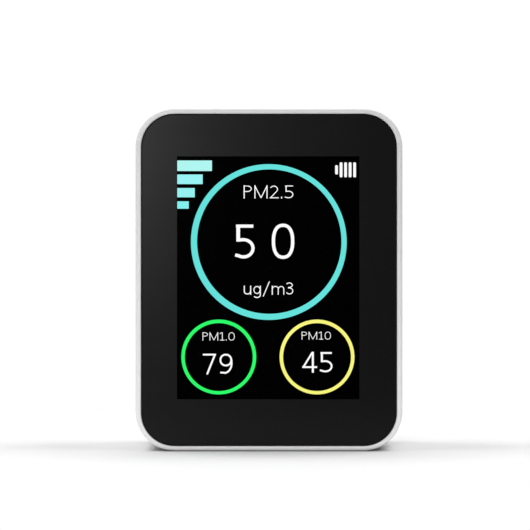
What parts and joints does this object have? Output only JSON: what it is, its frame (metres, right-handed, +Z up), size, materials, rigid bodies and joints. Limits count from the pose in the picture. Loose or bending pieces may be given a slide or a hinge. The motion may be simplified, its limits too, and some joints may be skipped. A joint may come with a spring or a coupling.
{
  "type": "air quality monitor",
  "caption": "Upright air quality monitor in a white split case with rounded corners: black front window, colour display, laser dust sensor with fan, battery, charging port and top button.",
  "frame": {"origin": "centre of the base, half-way through the case's depth", "axes": "+X to the right as the display is read, +Y to the rear, +Z up"},
  "size_m": [0.0636, 0.026, 0.0816],
  "materials": {
    "case_white": "fine satin white plastic",
    "button_white": "satin white plastic",
    "window": "clear hard-coated acrylic, satin",
    "window_mask": "black printed film",
    "tape": "black foam tape",
    "polariser": "dark polarising film",
    "display_glass": "thin glass",
    "chip_silicon": "bare chip",
    "display_frame": "white moulded frame",
    "light_panel": "milky light guide",
    "steel": "bright rolled steel",
    "screw_steel": "nickel plated",
    "flex": "amber polyimide",
    "connector": "cream nylon",
    "dark_plastic": "black moulded plastic",
    "board": "green solder mask",
    "chip": "black moulding compound",
    "tantalum": "yellow moulded case",
    "ceramic": "tan ceramic",
    "switch": "tinned steel",
    "foil": "satin foil pouch",
    "amber_tape": "amber tape",
    "red_wire": "red insulation",
    "black_wire": "black insulation",
    "grey_wire": "grey insulation",
    "brass": "turned brass",
    "lens": "clear moulded lens",
    "bronze": "sintered bronze",
    "core": "laminated core"
  },
  "bodies": {
    "case": {"backlight_panel": "light_panel", "battery_cell": "foil", "battery_end_board": "amber_tape", "battery_plug": "connector", "battery_socket": "connector", "battery_tape": "tape", "battery_wire_black": "black_wire", "battery_wire_red": "red_wire", "board_screws": "screw_steel", "case_screws": "screw_steel", "charger_chip": "chip", "chip_capacitors": "ceramic", "chip_resistors": "chip", "controller_chip": "chip", "crystal": "screw_steel", "display_back_plate": "steel", "display_connector": "connector", "display_driver_chip": "chip_silicon", "display_flex": "flex", "display_frame": "display_frame", "display_front_glass": "display_glass", "display_gasket": "tape", "display_pad": "tape", "display_polariser": "polariser", "display_rear_glass": "display_glass", "fan_bearing": "bronze", "fan_frame": "dark_plastic", "fan_stator": "core", "front_frame": "case_white", "front_window": "window", "laser_lens": "lens", "laser_module": "brass", "main_board": "board", "memory_chip": "chip", "photodiode": "chip_silicon", "port_contacts": "dark_plastic", "port_shell": "steel", "power_inductor": "chip", "rear_cover": "case_white", "regulator_chip": "chip", "sensor_board": "board", "sensor_duct": "dark_plastic", "sensor_gasket": "tape", "sensor_lid": "steel", "sensor_link": "connector", "sensor_link_plugs": "connector", "sensor_pad": "tape", "sensor_screws": "screw_steel", "sensor_tray": "dark_plastic", "sensor_wires": "grey_wire", "switch_case": "switch", "tank_capacitors": "tantalum", "window_mask": "window_mask", "window_tape": "tape"},
    "power_button": {"power_button": "button_white", "switch_plunger": "dark_plastic"},
    "fan_rotor": {"fan_rotor": "dark_plastic", "fan_magnet": "chip", "fan_shaft": "screw_steel"},
    "connector_latch": {"display_connector_latch": "dark_plastic"}
  },
  "joints": [
    {"name": "power_button_press", "type": "slide", "parent": "case", "child": "power_button", "axis": [0, 0, -1], "range_m": [0, 0.00035], "stiffness_N_per_m": 4500},
    {"name": "fan_spin", "type": "hinge", "parent": "case", "child": "fan_rotor", "pos_m": [0.01201, 0.0044, 0.0601], "axis": [0, 1, 0], "continuous": true},
    {"name": "connector_latch_flip", "type": "hinge", "parent": "case", "child": "connector_latch", "pos_m": [0, -0.0062, 0.01375], "axis": [-1, 0, 0], "range_deg": [0, 90]}
  ]
}
